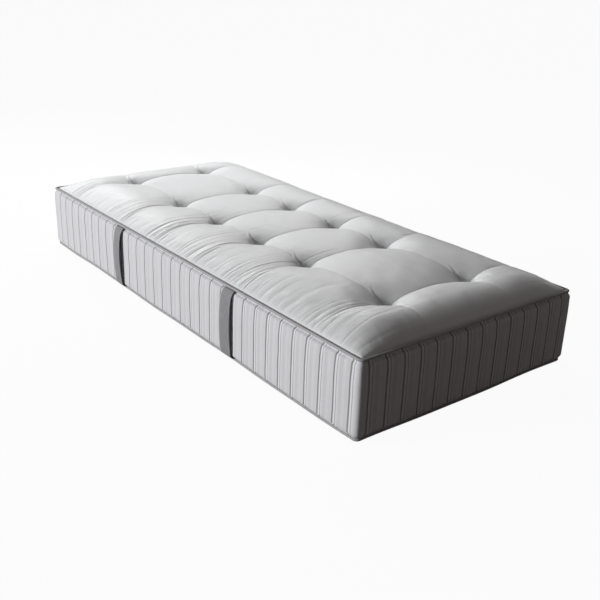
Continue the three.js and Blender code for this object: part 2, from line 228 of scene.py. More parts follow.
# %% Sizes of the pillows
crown_height = 54 * MM  # of the fullest pillows above the seam
side_run = 165 * MM  # how far in from the long sides a pillow has its full height
end_run = 105 * MM  # the same from the end that faces the camera
far_end_run = 190 * MM  # the same from the other end, whose pillows are flatter
tuft_pull = 22 * MM  # how far from a tuft the cover is drawn down, across the mattress
tuft_pull_along = 18 * MM  # the same along the mattress, where the pillows are rounder
saddle_reach = 80 * MM  # how far from a tuft the saddle along the mattress stays deep
crown_power = 2.2  # the higher, the flatter a pillow is on its crown
flank_power = 0.65  # the lower, the steeper it is at its edges
rise_power = 0.75  # the same for the cover's rise from its seam
valley_at_tufts = 0.5  # depth of the valleys between columns of tufts, as a share of a crown
valley_at_seam = 0.08  # the same where they reach the long seam
valley_in_middle = 0.26  # the same half way between the two rows of tufts
valley_power = 2.2  # how soon a valley fades from the tuft towards the seam
narrow_power = 0.35  # how much lower the crowns of narrow bays are
saddle_on_crowns = 0.06  # depth of the saddles between rows of tufts
saddle_at_tufts = 0.24  # what is added to it beside the tufts
tuft_depth = 0.85  # of the dimple, as a share of the height round it
pull_power = 1.2  # how softly a dimple passes into the pillows


# %% How full the cover is at a place
def bell(distance, width):
    """1 at no distance, 0.37 at the width, and softly on to 0."""
    return np.exp(-((distance / width) ** 2))


def arch(share):
    """A pillow's section, from 0 at one edge over 1 on the crown to 0 at the other edge."""
    return (1 - np.abs(2 * share - 1) ** crown_power) ** flank_power


def bays(places, lines, half):
    """For each place, the width of its bay between two lines of tufts, and its share of the way."""
    distance = np.abs(places) - lines[-1]
    number = np.clip(np.searchsorted(lines, places), 1, len(lines) - 1)
    start = np.take(lines, number - 1)
    span = np.take(lines, number) - start
    outer = half - lines[-1]
    share = np.where(distance > 0, np.clip(distance / outer, 0, 0.5), (places - start) / span)
    return np.where(distance > 0, 2 * outer, span), np.clip(share, 0, 1)


def edge_rise(distance_in, run):
    """The cover's rise from a seam, from 0 at the seam to 1 at the end of its run."""
    share = np.clip(distance_in / run, 0, 1)
    return (1 - (1 - share) ** 2) ** rise_power


def fullness(x, y):
    """How high the cover stands at a place, as a share of the crown's height."""
    rise = edge_rise(half_length - cover_inset - np.abs(x), np.where(x > 0, end_run, far_end_run))
    rise = rise * edge_rise(half_width - cover_inset - np.abs(y), side_run)
    outward = np.clip((np.abs(y) - tuft_rows[-1]) / (half_width - tuft_rows[-1]), 0, 1)
    inward = np.minimum(np.abs(y) / tuft_rows[-1], 1) ** 2
    outer = valley_at_seam + (valley_at_tufts - valley_at_seam) * (1 - outward) ** valley_power
    inner = valley_in_middle + (valley_at_tufts - valley_in_middle) * inward
    valley = np.where(outward > 0, outer, inner)
    span, share = bays(x, tuft_columns, half_length)
    crest = np.minimum(span / (tuft_columns[1] - tuft_columns[0]), 1) ** narrow_power
    columns = 1 - valley + (crest - 1 + valley) * arch(share)
    beside = np.min([np.abs(x - column) for column in tuft_columns], axis=0)
    saddle = saddle_on_crowns + saddle_at_tufts * bell(beside, saddle_reach)
    rows = 1 - saddle * (1 - arch(bays(y, tuft_rows, half_width)[1]))
    squeeze = tuft_pull / tuft_pull_along
    nearest = np.min([np.hypot((x - tuft.x) * squeeze, y - tuft.y) for tuft in tufts], axis=0)
    away = np.maximum(nearest - squeeze * tuft_opening / math.sqrt(2), 0)
    pull = 1 - tuft_depth * np.exp(-((away / tuft_pull) ** pull_power))
    return rise * columns * rows * pull


middle = np.array(0.0)
print(f"Fullness in the very middle: {fullness(middle, middle):.2f}")


# %% [markdown]
# ## Sheets over a grid
# A cover is a closed sheet: a fine side that shows, a plainer side inside, and a narrow wall round
# its edge and round each tuft's opening. The grid lines crowd together where the cloth has folds,
# along the piping and round the tufts, and the plainer side uses every second line.

# %% Grid lines
def grid_lines(stops, steps):
    """Lines from stop to stop, about one step apart, with an even count in each stretch."""
    lines = [stops[0]]
    for start, end, step in zip(stops, stops[1:], steps):
        count = 2 * max(1, math.ceil((end - start) / (2 * step)))
        lines.extend(start + (end - start) * (np.arange(count) + 1) / count)
    return np.array(lines)


hem = 6 * MM  # the strip beside the seam in which the cover turns down to the piping


def cover_lines(half, tuft_lines, fine, coarse):
    """Grid lines across a cover: fine round the tufts, coarse between them, finest in the hems."""
    tuft_zone = 40 * MM
    half = half - cover_inset
    stops = [-half, -half + hem]
    for line in tuft_lines:
        stops += [line - tuft_zone, line - tuft_opening / 2, line + tuft_opening / 2, line + tuft_zone]
    stops += [half - hem, half]
    steps = [hem / 4] + [coarse, fine, fine, fine] * len(tuft_lines) + [coarse, hem / 4]
    return grid_lines(stops, steps)


def rounded(x, y, inset):
    """The grid's square corners, drawn in to the rounded outline."""
    radius = corner_radius - inset
    u = np.clip((np.abs(x) - (half_length - corner_radius)) / radius, 0, 1)
    v = np.clip((np.abs(y) - (half_width - corner_radius)) / radius, 0, 1)
    shift_x = radius * (u * np.sqrt(1 - v ** 2 / 2) - u)
    shift_y = radius * (v * np.sqrt(1 - u ** 2 / 2) - v)
    return x + np.sign(x) * shift_x, y + np.sign(y) * shift_y


# %% A mesh from points and faces
def mesh_piece(name, vertices, faces, material):
    mesh = bpy.data.meshes.new(name)
    mesh.from_pydata([tuple(v) for v in vertices], [], [tuple(f) for f in faces])
    mesh.polygons.foreach_set("use_smooth", [True] * len(mesh.polygons))
    mesh.materials.append(material)
    mesh.update()
    piece = bpy.data.objects.new(name, mesh)
    scene.collection.objects.link(piece)
    return piece


# %% A closed sheet over a grid
def closed_sheet(name, lines_x, lines_y, outer, inner, material, upwards=True):
    """outer holds the points of the fine side, and inner the heights of the plainer one."""
    count_x = len(lines_x)
    count_y = len(lines_y)
    fine = outer.reshape(-1, 3)
    plain = np.dstack([outer[..., 0], outer[..., 1], inner])[::2, ::2].reshape(-1, 3)

    def is_open(i, j):
        if i < 0 or j < 0 or i >= count_x - 1 or j >= count_y - 1:
            return True
        middle_x = (lines_x[i] + lines_x[i + 2]) / 2
        middle_y = (lines_y[j] + lines_y[j + 2]) / 2
        reach = tuft_opening / 2
        return any(abs(tuft.x - middle_x) < reach and abs(tuft.y - middle_y) < reach for tuft in tufts)

    def over(i, j):
        return i * count_y + j

    def under(i, j):
        return len(fine) + (i // 2) * ((count_y + 1) // 2) + j // 2

    faces = []
    for i in range(0, count_x - 1, 2):
        for j in range(0, count_y - 1, 2):
            if is_open(i, j):
                continue
            for a, b in ((i, j), (i + 1, j), (i + 1, j + 1), (i, j + 1)):
                faces.append((over(a, b), over(a + 1, b), over(a + 1, b + 1), over(a, b + 1)))
            faces.append((under(i, j), under(i, j + 2), under(i + 2, j + 2), under(i + 2, j)))
            sides = (
                ((i, j - 2), (i, j), (i + 2, j)),
                ((i + 2, j), (i + 2, j), (i + 2, j + 2)),
                ((i, j + 2), (i + 2, j + 2), (i, j + 2)),
                ((i - 2, j), (i, j + 2), (i, j)),
            )
            for beyond, start, end in sides:
                if not is_open(*beyond):
                    continue
                middle = ((start[0] + end[0]) // 2, (start[1] + end[1]) // 2)
                faces.append((under(*start), under(*end), over(*middle)))
                faces.append((under(*start), over(*middle), over(*start)))
                faces.append((under(*end), over(*end), over(*middle)))
    if not upwards:
        faces = [face[::-1] for face in faces]
    used = sorted({number for face in faces for number in face})
    renumbered = {old: new for new, old in enumerate(used)}
    vertices = np.concatenate([fine, plain])[used]
    faces = [tuple(renumbered[number] for number in face) for face in faces]
    return mesh_piece(name, vertices, faces, material)


# %% [markdown]
# ## Chance that repeats
# Cloth never lies evenly. A few sine waves of mixed lengths, drawn from a seeded generator, add up to
# a smooth unevenness between about -1 and 1 that is the same each time the script runs.

# %% Seeded unevenness
def uneven_line(seed, length, waves=7):
    """Unevenness along a line, with bumps about `length` metres long."""
    random = np.random.default_rng(seed)
    lengths = length * random.uniform(0.7, 2.2, waves)
    phases = random.uniform(0, 2 * np.pi, waves)
    pairs = list(zip(lengths, phases))
    return lambda s: sum(np.sin(2 * np.pi * s / wave + phase) for wave, phase in pairs) / waves ** 0.5


def uneven_field(seed, length, waves=18):
    """The same over a surface."""
    random = np.random.default_rng(seed)
    numbers = 2 * np.pi / (length * random.uniform(0.7, 2.0, waves))
    headings = random.uniform(0, np.pi, waves)
    phases = random.uniform(0, 2 * np.pi, waves)
    trios = list(zip(numbers * np.cos(headings), numbers * np.sin(headings), phases))
    return lambda x, y: sum(np.sin(a * x + b * y + phase) for a, b, phase in trios) / waves ** 0.5


# %% [markdown]
# ## Pleats, creases and wrinkles
# The satin is cut larger than the border, so where it meets the piping its fullness is taken up in
# small pleats. Between two pillows they run on as long wrinkles that draw together at the tuft. Round
# each tuft the cloth is creased like a star. All of it is worked out as a depth below the pillow.

# %% Sizes of the pleats along a seam
gather_pitch = 14 * MM  # small pleats, close together all along the seam
gather_length = 45 * MM  # from the seam in, before chance makes it longer or shorter
gather_depth = 0.5 * MM
streak_pitch = 37 * MM  # soft folds that run further up the pillow
streak_length = 110 * MM
streak_depth = 1.6 * MM
wrinkle_pitch = 24 * MM  # the long wrinkles in the valley between two pillows
wrinkle_length = 190 * MM
wrinkle_depth = 7 * MM
wrinkle_width = 85 * MM  # how far they reach on the flank that faces the near end
other_flank = 0.4  # share of that width on the flank that faces the far end
back_slack = 0.4  # looseness along the other seams, as a share of that along the front one
end_slack = 0.4  # share of all pleats along the two ends
valley_slack = np.array([0.6, 0.9, 1.2, 1.1, 0.7, 0.3])  # looseness of each valley, far end first
pleat_wander = uneven_line(3, 70 * MM)
pleat_fullness = uneven_line(5, 55 * MM)
pleat_reach = uneven_line(8, 40 * MM)


# %% Depth of the pleats along a seam
def pleats_of(start, inward, pitch, length, depth, sharp=1.0):
    """Depth of evenly spaced pleats that each fade out at a length of their own."""
    crease = (1 - np.abs(np.sin(np.pi * (start / pitch + 0.35 * pleat_wander(start))))) ** sharp
    reach = length * (1 + 0.8 * np.clip(pleat_reach(start + pitch), -0.6, 1.4))
    fade = (1 - np.exp(-inward / (3 * MM))) * np.exp(-((inward / reach) ** 1.4))
    return depth * crease * fade * np.clip(0.7 + 0.4 * pleat_fullness(start + pitch), 0, 1.2)


def seam_pleats(along, inward, lines, half, tuft_distance, side):
    """Depth of the pleats at places that lie `along` a seam and `inward` from it."""
    nearest = np.argmin([np.abs(along - line) for line in lines], axis=0)
    line = np.take(lines, nearest)
    gaps = np.diff(lines)
    outside = half - lines[-1]
    before = np.concatenate([[outside], gaps / 2])[nearest]
    after = np.concatenate([gaps / 2, [outside]])[nearest]
    reach = np.where(along < line, before, after)
    share = np.clip((along - line) / reach, -1, 1)
    gather = np.clip(inward / tuft_distance, 0, 1) ** 0.8
    other_cloth = 10  # metres further along the chance, so that each seam has pleats of its own
    start = line + share * (1 + gather * (1 - np.abs(share)) ** 2) * reach + side * other_cloth
    beside = (along - line) / np.where(along < line, wrinkle_width, other_flank * wrinkle_width)
    valley = np.take(valley_slack, nearest) * bell(beside, 1) * np.where(side > 0, back_slack, 1)
    depth = pleats_of(start, inward, gather_pitch, gather_length, gather_depth)
    depth = depth + pleats_of(start, inward, streak_pitch, streak_length, streak_depth, 2)
    return depth + valley * pleats_of(start, inward, wrinkle_pitch, wrinkle_length, wrinkle_depth, 3)


# %% Depth of the creases round the tufts
crease_turns = uneven_line(11, 1.7)
crease_reach = 160 * MM  # from a tuft
star_depth = 0.5 * MM  # of the small creases all round a tuft
star_rays = 7
row_crease = 4 * MM  # depth of the crease from tuft to tuft along the mattress
row_bend = 0.3  # how far it curves aside, as a share of its way, 100 mm from the tuft
column_crease = 2 * MM  # the same across the mattress
side_fold = 2 * MM  # height of the small fold beside the row's crease


def tuft_creases(x, y):
    """Depth of the creases that draw together at each tuft."""
    depth = np.zeros_like(x)
    for number, tuft in enumerate(tufts):
        dx = x - tuft.x
        dy = y - tuft.y
        radius = np.hypot(dx, dy)
        near = radius < crease_reach
        angle = np.arctan2(dy[near], dx[near])
        r = radius[near]
        turned = star_rays * angle + number * 1.3 + 1.2 * crease_turns(angle + number * 20)
        star = 0.5 + 0.5 * np.cos(turned)
        rays = star_depth * star * (1 - np.exp(-r / (7 * MM))) * np.exp(-((r / (34 * MM)) ** 1.6))
        ahead = dx[near]
        aside = dy[near] - row_bend * ahead ** 2 / (100 * MM)
        row = bell(aside, 5 * MM) * bell(ahead, 55 * MM)
        column = bell(ahead, 6 * MM) * bell(dy[near], 50 * MM)
        fold = bell(aside + 9 * MM, 4 * MM) * bell(ahead + 40 * MM, 32 * MM)
        depth[near] += rays + row_crease * row + column_crease * column - side_fold * fold
    return depth


# %% All folds of a cover
hem_crevice = 7 * MM  # how deep the cover dips just inside its seam
slack = uneven_field(21, 70 * MM)  # broad unevenness of the pillows
slack_height = 0.35 * MM
ruffle = uneven_field(22, 24 * MM)  # fine unevenness
ruffle_height = 0.07 * MM


def folds(x, y, full):
    """How far below its smooth pillows the cover lies, with all its pleats and creases."""
    in_x = half_length - cover_inset - np.abs(x)
    in_y = half_width - cover_inset - np.abs(y)
    depth = seam_pleats(x, in_y, tuft_columns, half_length, half_width - tuft_rows[-1], np.sign(y))
    ends = seam_pleats(y, in_x, tuft_rows, half_width, half_length - tuft_columns[-1], 3 + np.sign(x))
    depth = depth + end_slack * ends + tuft_creases(x, y)
    depth = depth + hem_crevice * bell(np.minimum(in_x, in_y), 5 * MM)
    uneven = slack_height * slack(x, y) + ruffle_height * ruffle(x, y)
    return depth - uneven * np.clip(full * 3, 0, 1)


# %% [markdown]
# ## Satin
# The covers are a viscose satin: most of its warp lies on top, so it is smooth and softly glossy, and
# its highlights run along the threads. It is quilted on a thin fleece, which leaves it a little soft
# and uneven. The threads are about 0.2 mm apart and are drawn as coarse as 1.4 mm so that they show.
# Like several finishes to come, it has two tones that a pattern mixes, and a relief.

# %% Satin material
def two_tone_finish(tree, shader, pattern, dark, light, relief, strength, distance):
    """Mixes two tones by a pattern, and raises a relief by up to `distance` metres."""
    tones = add_node(tree, "ShaderNodeMix", {
        0: pattern, "A": linear(dark), "B": linear(light),
    }, data_type="RGBA")
    tree.links.new(tones.outputs["Result"], shader.inputs["Base Color"])
    bump = add_node(tree, "ShaderNodeBump", {
        "Height": relief, "Strength": strength, "Distance": distance,
    })
    tree.links.new(bump.outputs["Normal"], shader.inputs["Normal"])


satin, tree, shader = new_material("woven_viscose_satin", Roughness=0.36)
shader.inputs["Specular IOR Level"].default_value = 0.22
shader.inputs["Sheen Weight"].default_value = 0.05
shader.inputs["Sheen Roughness"].default_value = 0.4
thread_pitch = 1.4 * MM
place = add_node(tree, "ShaderNodeTexCoord").outputs["Object"]
cloudy = add_node(tree, "ShaderNodeTexNoise", {"Vector": place, "Scale": 14.0, "Detail": 4.0})
threads = add_node(tree, "ShaderNodeTexWave", {
    "Vector": place, "Scale": math.pi / (10 * thread_pitch), "Distortion": 1.5, "Detail": 2.0,
}, bands_direction="Y")
crumple = add_node(tree, "ShaderNodeTexNoise", {"Vector": place, "Scale": 55.0, "Detail": 5.0})
soft_part = add_node(tree, "ShaderNodeMath", {
    0: crumple.outputs["Fac"], 1: 0.6,
}, operation="MULTIPLY").outputs[0]
thread_part = add_node(tree, "ShaderNodeMath", {
    0: threads.outputs["Fac"], 1: 0.12,
}, operation="MULTIPLY").outputs[0]
relief = add_node(tree, "ShaderNodeMath", {0: soft_part, 1: thread_part}, operation="ADD").outputs[0]
two_tone_finish(tree, shader, cloudy.outputs["Fac"], "#D4D6D8", "#DBDDDE", relief, 0.2, 0.4 * MM)
print(satin.name, "with threads drawn", thread_pitch / MM, "mm apart")

# %% [markdown]
# ## Letting the cover settle
# The satin is sewn on a little too large, and the wadding presses it up. That is a job for Blender's
# Cloth: a coarser sheet of the same shape is pinned along the seam and at the tufts, its threads are
# made longer beside the long seams and in the valleys, pressure comes from below, and it runs for 20
# frames. It gathers itself in small pleats there and stays taut on the pillows. The pleats are kept
# as a change of height, without what it adds to a pillow's general height. It is cut off at 3 mm,
# and a share of it goes into the cover, because the rule above already has the larger pleats.

# %% Levels between grid lines
def between(lines_x, lines_y, levels, x, y):
    """The level at places between the grid lines, in proportion to how near the lines are."""
    i = np.clip(np.searchsorted(lines_x, x) - 1, 0, len(lines_x) - 2)
    j = np.clip(np.searchsorted(lines_y, y) - 1, 0, len(lines_y) - 2)
    u = np.clip((x - lines_x[i]) / (lines_x[i + 1] - lines_x[i]), 0, 1)
    v = np.clip((y - lines_y[j]) / (lines_y[j + 1] - lines_y[j]), 0, 1)
    near = levels[i, j] * (1 - u) + levels[i + 1, j] * u
    far = levels[i, j + 1] * (1 - u) + levels[i + 1, j + 1] * u
    return near * (1 - v) + far * v


def smoothed(levels, times):
    """Levels that are evened out with their neighbours again and again."""
    for _ in range(times):
        wide = np.pad(levels, 1, mode="edge")
        levels = (wide[:-2, 1:-1] + wide[2:, 1:-1] + wide[1:-1, :-2] + wide[1:-1, 2:] + levels) / 5
    return levels


# %% The slack sheet
loose_width = 45 * MM  # how far from a long seam, or from the middle of a valley, cloth is loose
loose_reach = 170 * MM  # how far a valley's loose cloth goes in from the seam
pin_reach = 12 * MM  # round each tuft
first_dents = 0.4 * MM  # unevenness that the sheet starts with, so that it knows where to fold
free_height = 20 * MM  # from this height above the seam on, they have their full size


def looseness(x, y):
    """1 where the sheet has too much cloth, 0 where it is taut."""
    in_y = half_width - cover_inset - np.abs(y)
    beside = np.min([np.abs(x - column) for column in tuft_columns], axis=0)
    valleys = np.exp(-((beside / loose_width) ** 2) - (in_y / loose_reach) ** 2)
    return np.maximum(bell(in_y, loose_width), valleys)


def slack_sheet(x, y, level):
    """The sheet as a mesh, with its pinned and its taut places as vertex groups."""
    loose = looseness(x, y)
    dents = first_dents * uneven_field(41, 26 * MM)(x, y)
    begun = dents * loose * np.clip(level / free_height, 0, 1)
    points = np.dstack([x, y, level + begun]).reshape(-1, 3)
    count_x, count_y = x.shape
    corner = (np.arange(count_x - 1)[:, None] * count_y + np.arange(count_y - 1)).ravel()
    faces = np.stack([corner, corner + count_y, corner + count_y + 1, corner + 1], axis=1)
    sheet = mesh_piece("slack_sheet", points, faces, satin)
    near_tuft = np.min([np.hypot(x - tuft.x, y - tuft.y) for tuft in tufts], axis=0) < pin_reach
    held = near_tuft | (np.abs(x) > x[-2, 0] + MM) | (np.abs(y) > y[0, -2] + MM)
    pins = sheet.vertex_groups.new(name="pins")
    pins.add([int(number) for number in np.flatnonzero(held)], 1.0, "REPLACE")
    taut = sheet.vertex_groups.new(name="taut")
    for number, share in enumerate((1 - loose).ravel()):
        taut.add([number], float(share), "REPLACE")
    return sheet


# %% Cloth simulation of the cover
slack_share = 0.009  # how much longer the threads are than the shape needs, where they are loose
settle_frames = 20
even_out = 60  # rounds of smoothing that find a pillow's general height
most = 3 * MM
kept_share = 0.4


def settled_folds(lines_x, lines_y):
    """How far a slack sheet, pinned at its seam and tufts, moves up or down under pressure."""
    x, y = np.meshgrid(lines_x, lines_y, indexing="ij")
    level = crown_height * fullness(x, y)
    sheet = slack_sheet(x, y, level)
    modifier = sheet.modifiers.new("settling", "CLOTH")
    settings = modifier.settings
    settings.quality = 6
    settings.mass = 0.25
    settings.tension_stiffness = 20
    settings.compression_stiffness = 20
    settings.shear_stiffness = 8
    settings.bending_stiffness = 3
    settings.vertex_group_shrink = "taut"
    settings.shrink_min = -slack_share
    settings.shrink_max = 0
    settings.vertex_group_mass = "pins"
    settings.use_pressure = True
    settings.uniform_pressure_force = 6
    settings.effector_weights.gravity = 0
    modifier.collision_settings.use_collision = False
    for moment in range(1, settle_frames + 1):
        scene.frame_set(moment)
    ready = sheet.evaluated_get(bpy.context.evaluated_depsgraph_get())
    places = np.empty(3 * x.size)
    ready.data.vertices.foreach_get("co", places)
    moved = places[2::3].reshape(x.shape) - level
    scene.frame_set(1)
    bpy.data.objects.remove(sheet)
    moved = moved - smoothed(moved, even_out)
    print(f"Settled folds: {moved.min() / MM:.1f} to {moved.max() / MM:.1f} mm, {x.size} points")
    return kept_share * np.clip(moved, -most, most)


sheet_x = np.linspace(-1, 1, 271) * (half_length - cover_inset)  # lines 7.4 mm apart
sheet_y = np.linspace(-1, 1, 81) * (half_width - cover_inset)  # lines 11 mm apart
settled = settled_folds(sheet_x, sheet_y)

# %% Top cover
cover_x = cover_lines(half_length, tuft_columns, 2.4 * MM, 2.4 * MM)
cover_y = cover_lines(half_width, tuft_rows, 3.4 * MM, 3.6 * MM)
grid_x, grid_y = np.meshgrid(cover_x, cover_y, indexing="ij")
full = fullness(grid_x, grid_y)
top_level = upper_seam + cloth / 2 + crown_height * full - folds(grid_x, grid_y, full)
top_level = top_level + between(sheet_x, sheet_y, settled, grid_x, grid_y)
place_x, place_y = rounded(grid_x, grid_y, cover_inset)
top_points = np.dstack([place_x, place_y, top_level])
top_cover = closed_sheet("top_cover_satin", cover_x, cover_y, top_points, top_level - cloth, satin)
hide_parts("top_cover")
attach(top_cover, "root")
print("Top cover:", len(top_cover.data.polygons), "faces")

# %% [markdown]
# ## The cover underneath
# The mattress can be turned over, so its lower cover is made like the upper one. Its pillows rest on
# the floor: their crowns are pressed flat, and only the stretches beside the piping stay round.

# %% Bottom cover
flat_share = 0.72  # fullness at which the floor presses a pillow flat
under_x = cover_lines(half_length, tuft_columns, 5 * MM, 7 * MM)
under_y = cover_lines(half_width, tuft_rows, 5 * MM, 7 * MM)
grid_x, grid_y = np.meshgrid(under_x, under_y, indexing="ij")
full = fullness(grid_x, grid_y)
under_height = lower_seam - cloth / 2
pressed = np.clip(full / flat_share, 0, 1)
under_level = under_height * (1 - pressed) + 0.6 * folds(grid_x, grid_y, full) * (1 - pressed)
under_level = np.maximum(under_level, 0)
place_x, place_y = rounded(grid_x, grid_y, cover_inset)
under_points = np.dstack([place_x, place_y, under_level])
bottom_cover = closed_sheet(
    "bottom_cover_satin", under_x, under_y, under_points, under_level + cloth, satin, upwards=False,
)
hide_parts("bottom_cover")
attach(bottom_cover, "root")
print("Bottom cover:", len(bottom_cover.data.polygons), "faces")

# %% [markdown]
# ## Wadding
# Behind each cover lies a soft wadding that fills its pillows. It isn't seen while the cover is on,
# but it has to follow the cover closely, so it takes its height from the cover's own inner side.
# It is a fleece of carded fibres, off-white, matt and woolly, so a twisted noise makes its finish.

# %% Wadding material
wadding_stuff, tree, shader = new_material("carded_polyester_wadding", Roughness=1.0)
place = add_node(tree, "ShaderNodeTexCoord").outputs["Object"]
fibres = add_node(tree, "ShaderNodeTexNoise", {
    "Vector": place, "Scale": 180.0, "Detail": 6.0, "Distortion": 2.0,
}).outputs["Fac"]
two_tone_finish(tree, shader, fibres, "#E6E3DC", "#F7F6F2", fibres, 0.6, 1 * MM)
print(wadding_stuff.name)


# %% Wadding blocks
def lowest_nearby(levels):
    """The lowest of each level and its neighbours, so that a coarser sheet stays under a fine one."""
    padded = np.pad(levels, 2, mode="edge")
    shifts = [padded[i:i + levels.shape[0], j:j + levels.shape[1]] for i in range(5) for j in range(5)]
    return np.min(shifts, axis=0)


def add_wadding(node, lines_x, lines_y, levels, upwards):
    """The block between a cover's inner side, given as levels, and the flat foam behind it."""
    low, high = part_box(node)
    inset = half_length - high.x
    block_x = cover_lines(half_length, tuft_columns, 8 * MM, 12 * MM)
    block_y = cover_lines(half_width, tuft_rows, 8 * MM, 12 * MM)
    block_x[[0, -1]] = -high.x, high.x
    block_y[[0, -1]] = -high.y, high.y
    grid_x, grid_y = np.meshgrid(block_x, block_y, indexing="ij")
    behind = lowest_nearby(levels) if upwards else -lowest_nearby(-levels)
    outer = between(lines_x, lines_y, behind, grid_x, grid_y)
    outer = outer - clearance if upwards else outer + clearance
    flat = np.full_like(outer, low.z if upwards else high.z)
    place_x, place_y = rounded(grid_x, grid_y, inset)
    points = np.dstack([place_x, place_y, outer])
    block = closed_sheet(node + "_fleece", block_x, block_y, points, flat, wadding_stuff, upwards)
    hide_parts(node)
    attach(block, "root")
    print(block.name, len(block.data.polygons), "faces")


add_wadding("top_wadding", cover_x, cover_y, top_level - cloth, True)
add_wadding("bottom_wadding", under_x, under_y, under_level + cloth, False)

# %% [markdown]
# ## The outline and its stripes
# Border and pipings follow one outline, a rectangle with rounded corners. It is walked once round,
# starting at the corner that is furthest from the camera, because there the ticking's two ends are
# sewn together and its stripes don't meet. The walk also measures how much cloth has been laid.

# %% The outline as a walk
stripe_repeat = 63.3 * MM
corner_cloth = 32.8 * MM  # length of ticking that a rounded corner takes
stripe_start = -17.6 * MM  # of the first stripe before the near corner


def walk(inset, step, corner_steps=10):
    """Points round the outline, with their outward directions and the cloth laid so far."""
    radius = corner_radius - inset
    straight_x = 2 * (half_length - corner_radius)
    straight_y = 2 * (half_width - corner_radius)
    points = []
    laid = 0
    for number, run in enumerate((straight_y, straight_x, straight_y, straight_x)):
        angle = math.pi + number * math.pi / 2
        out = np.array((math.cos(angle), math.sin(angle)))
        ahead = np.array((-out[1], out[0]))
        corner = np.array((half_length - corner_radius, half_width - corner_radius))
        start = corner * np.sign(out - ahead)
        count = round(run / step)
        for place in np.arange(count) / count:
            points.append((*(start + ahead * run * place + out * radius), *out, laid + run * place))
        laid += run
        centre = start + ahead * run
        for place in np.arange(corner_steps) / corner_steps:
            turned = angle + place * math.pi / 2
            way = np.array((math.cos(turned), math.sin(turned)))
            points.append((*(centre + way * radius), *way, laid + corner_cloth * place))
        laid += corner_cloth
        if number == 1:
            near_corner = laid - corner_cloth
    x, y, out_x, out_y, along = np.array(points).T
    return x, y, out_x, out_y, along - near_corner, laid


# %% [markdown]
# ## Border band
# The band is ticking quilted to a thin padding. It comes out slowly below the top piping, stands
# upright and turns in quickly at the foot. Each panel between two bold stripes puffs up a little,
# most just under the top piping. Beside both seams a crevice draws the cloth in, with small wrinkles
# round it, and the lower seam wavers a little. The corners are firm and sharp, and the band bulges
# less on both sides of them.

# %% Shape of the border
height = border_high.z - border_low.z
border_inset = 4 * MM  # from the outside of the piping in to the border at its seams
border_bulge = 12 * MM  # of the padded border at half height
shoulder_size = 18 * MM
foot_radius = 18 * MM
lower_waver = uneven_line(31, 420 * MM, 5)
panel_swell = uneven_line(32, 130 * MM)
seam_wrinkle = uneven_line(33, 11 * MM, 9)
long_wrinkle = uneven_line(34, 23 * MM, 9)
band_dents = uneven_field(35, 90 * MM)
handle_boxes = [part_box(f"handle_{side}_{end}") for side in ("front", "back") for end in ("left", "right")]


def under_strap(x, y):
    """1 where a handle lies over the border and presses it smooth, 0 elsewhere."""
    pressed = np.zeros_like(x)
    for low, high in handle_boxes:
        beside = np.maximum(np.abs(x - (low.x + high.x) / 2) - (high.x - low.x) / 2, 0)
        same_side = np.sign(y) == np.sign(low.y + high.y)
        pressed = np.maximum(pressed, np.where(same_side, bell(beside, 6 * MM), 0))
    return pressed


def border_profile(share):
    """How far the border bulges, without its relief: slowly out at the top, round at the foot."""
    from_top = (1 - share) * height
    from_foot = share * height
    shoulder = 1 - np.exp(-from_top / shoulder_size)
    foot = (1 - np.clip(1 - from_foot / foot_radius, 0, 1) ** 2) ** 0.5
    return border_bulge * shoulder * foot


def seam_drop(along):
    """How far the lower seam hangs below or above its straight line."""
    return 1.6 * MM * lower_waver(along)


def at_corner(x, y):
    """1 in the middle of a corner of the border, 0 along its straight runs."""
    radius = corner_radius - border_inset
    u = np.clip((np.abs(x) - half_length + corner_radius) / radius, 0, 1)
    v = np.clip((np.abs(y) - half_width + corner_radius) / radius, 0, 1)
    return (2 * u * v) ** 2


def near_corner_share(x, y):
    """1 at a corner of the border, fading along the straight runs on both sides of it."""
    reach = 90 * MM
    u = np.maximum(half_length - np.abs(x), 0) / reach
    v = np.maximum(half_width - np.abs(y), 0) / reach
    return np.exp(-(u ** 2) - v ** 2)


# %% How far the border stands out
panel_relief = 1 * MM  # of a panel between two bold stripes
puff_height = 2.2 * MM  # what is added to it just under the top piping
puff_place = 14 * MM  # below the seam
crevice_depth = 7 * MM
crevice_place = 5.5 * MM  # from the seam
corner_loss = 0.4  # share of its bulge that the border lacks near a corner
crevice_loss = 0.75  # share of the crevice that is missing there
corner_stand = 3  # mm that the firm corners themselves stand out
taken_back = 0.9  # mm that the whole band lies further in, to make up for its relief


